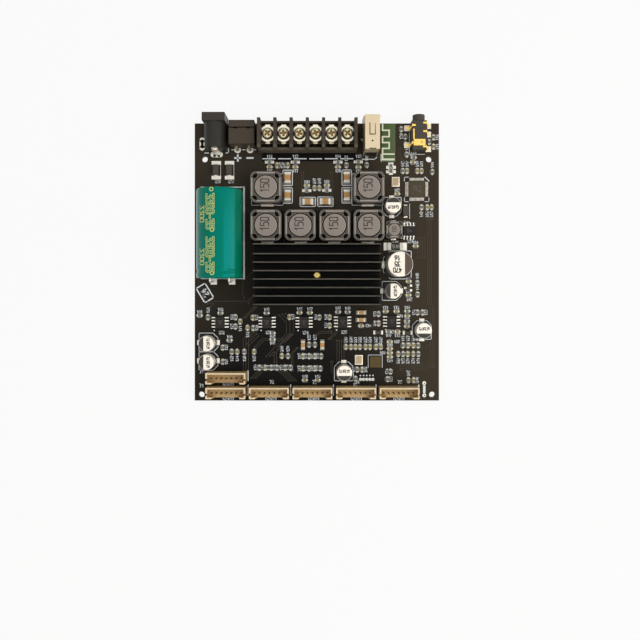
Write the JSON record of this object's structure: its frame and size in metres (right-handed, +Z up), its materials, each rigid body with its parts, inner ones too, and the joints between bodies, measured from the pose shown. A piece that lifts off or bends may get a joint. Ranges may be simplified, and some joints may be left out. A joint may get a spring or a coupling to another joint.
{
  "type": "audio amplifier board",
  "caption": "Bare audio amplifier circuit board with finned heatsink, output inductors, reservoir capacitor, screw terminals, wiring headers and edge sockets.",
  "frame": {"origin": "centre of the overall footprint, at the tips of the soldered lead tails the board stands on", "axes": "+X to the right seen from above with the connectors at the far side, +Y towards the connector edge, +Z up"},
  "size_m": [0.0996, 0.1156, 0.0211],
  "materials": {
    "board_mask": "satin dark brown solder mask over glass laminate",
    "copper_foil": "masked copper foil",
    "solder": "bright solder",
    "anodised_black": "black anodised extrusion",
    "screw_brass": "yellow passivated",
    "thermal_pad": "soft filled silicone",
    "chip_black": "moulded epoxy",
    "tinned_lead": "tin plated",
    "connector_black": "moulded, fine texture",
    "nickel_plate": "nickel plated, warm",
    "tinned_shell": "tinned folded sheet",
    "gold_contact": "gold plated strip",
    "sleeve_green": "printed shrink sleeve",
    "seal_rubber": "moulded seal",
    "ferrite": "ground ferrite",
    "copper_wire": "enamelled wire",
    "can_aluminium": "lacquered aluminium",
    "header_cream": "natural polyamide",
    "control_brown": "moulded epoxy, brown",
    "crystal_lid": "tan lid on ceramic",
    "resistor_body": "glazed resistor film",
    "capacitor_body": "fired ceramic",
    "ceramic_brown": "fired ceramic",
    "legend_ink": "screen printed legend",
    "marking_ink": "printed part markings",
    "sleeve_ink": "print on the capacitor sleeve"
  },
  "bodies": {
    "board": {"circuit_board": "board_mask", "antenna_trace": "copper_foil", "solder_joints": "solder", "heatsink": "anodised_black", "heatsink_screw": "screw_brass", "thermal_pads": "thermal_pad", "amplifier_chips": "chip_black", "amplifier_chip_leads": "tinned_lead", "dc_jack_housing": "connector_black", "dc_jack_pin": "nickel_plate", "dc_jack_tabs": "tinned_lead", "power_header_housing": "connector_black", "power_header_pins": "tinned_lead", "terminal_block": "connector_black", "terminal_plates": "nickel_plate", "usb_shell": "tinned_shell", "usb_insulator": "chip_black", "usb_contacts": "gold_contact", "audio_jack_body": "connector_black", "audio_jack_contacts": "gold_contact", "reservoir_can": "sleeve_green", "reservoir_bung": "seal_rubber", "reservoir_leads": "tinned_lead", "inductor_shields": "ferrite", "inductor_cores": "ferrite", "inductor_windings": "copper_wire", "inductor_terminals": "tinned_lead", "electrolytic_bases": "chip_black", "electrolytic_cans": "can_aluminium", "electrolytic_terminals": "tinned_lead", "signal_header_housings": "header_cream", "signal_header_pins": "tinned_lead", "op_amp_chips": "chip_black", "op_amp_leads": "tinned_lead", "radio_chip": "chip_black", "radio_chip_leads": "tinned_lead", "control_chip": "control_brown", "crystals": "crystal_lid", "small_semiconductors": "chip_black", "small_semiconductor_leads": "tinned_lead", "chip_resistors": "resistor_body", "chip_capacitors": "capacitor_body", "ceramic_capacitors": "ceramic_brown", "chip_end_caps": "solder"},
    "clamp_1": {"clamp_washer_1": "nickel_plate"},
    "screw_1": {"terminal_screw_1": "screw_brass"},
    "clamp_2": {"clamp_washer_2": "nickel_plate"},
    "screw_2": {"terminal_screw_2": "screw_brass"},
    "clamp_3": {"clamp_washer_3": "nickel_plate"},
    "screw_3": {"terminal_screw_3": "screw_brass"},
    "clamp_4": {"clamp_washer_4": "nickel_plate"},
    "screw_4": {"terminal_screw_4": "screw_brass"},
    "clamp_5": {"clamp_washer_5": "nickel_plate"},
    "screw_5": {"terminal_screw_5": "screw_brass"},
    "clamp_6": {"clamp_washer_6": "nickel_plate"},
    "screw_6": {"terminal_screw_6": "screw_brass"}
  },
  "joints": [
    {"name": "clamp_1_lift", "type": "slide", "parent": "board", "child": "clamp_1", "axis": [0, 0, 1], "range_m": [0, 0.00225]},
    {"name": "screw_1_turn", "type": "hinge", "parent": "clamp_1", "child": "screw_1", "pos_m": [-0.01957, 0.0494, 0.0111], "axis": [0, 0, 1], "range_deg": [0, 1800]},
    {"name": "clamp_2_lift", "type": "slide", "parent": "board", "child": "clamp_2", "axis": [0, 0, 1], "range_m": [0, 0.00225]},
    {"name": "screw_2_turn", "type": "hinge", "parent": "clamp_2", "child": "screw_2", "pos_m": [-0.01323, 0.0494, 0.0111], "axis": [0, 0, 1], "range_deg": [0, 1800]},
    {"name": "clamp_3_lift", "type": "slide", "parent": "board", "child": "clamp_3", "axis": [0, 0, 1], "range_m": [0, 0.00225]},
    {"name": "screw_3_turn", "type": "hinge", "parent": "clamp_3", "child": "screw_3", "pos_m": [-0.00688, 0.0494, 0.0111], "axis": [0, 0, 1], "range_deg": [0, 1800]},
    {"name": "clamp_4_lift", "type": "slide", "parent": "board", "child": "clamp_4", "axis": [0, 0, 1], "range_m": [0, 0.00225]},
    {"name": "screw_4_turn", "type": "hinge", "parent": "clamp_4", "child": "screw_4", "pos_m": [-0.00052, 0.0494, 0.0111], "axis": [0, 0, 1], "range_deg": [0, 1800]},
    {"name": "clamp_5_lift", "type": "slide", "parent": "board", "child": "clamp_5", "axis": [0, 0, 1], "range_m": [0, 0.00225]},
    {"name": "screw_5_turn", "type": "hinge", "parent": "clamp_5", "child": "screw_5", "pos_m": [0.00583, 0.0494, 0.0111], "axis": [0, 0, 1], "range_deg": [0, 1800]},
    {"name": "clamp_6_lift", "type": "slide", "parent": "board", "child": "clamp_6", "axis": [0, 0, 1], "range_m": [0, 0.00225]},
    {"name": "screw_6_turn", "type": "hinge", "parent": "clamp_6", "child": "screw_6", "pos_m": [0.01218, 0.0494, 0.0111], "axis": [0, 0, 1], "range_deg": [0, 1800]}
  ],
  "couplings": [
    {"joint": "screw_1_turn", "follows": "clamp_1_lift", "rad_per_m": 13963},
    {"joint": "screw_2_turn", "follows": "clamp_2_lift", "rad_per_m": 13963},
    {"joint": "screw_3_turn", "follows": "clamp_3_lift", "rad_per_m": 13963},
    {"joint": "screw_4_turn", "follows": "clamp_4_lift", "rad_per_m": 13963},
    {"joint": "screw_5_turn", "follows": "clamp_5_lift", "rad_per_m": 13963},
    {"joint": "screw_6_turn", "follows": "clamp_6_lift", "rad_per_m": 13963}
  ]
}
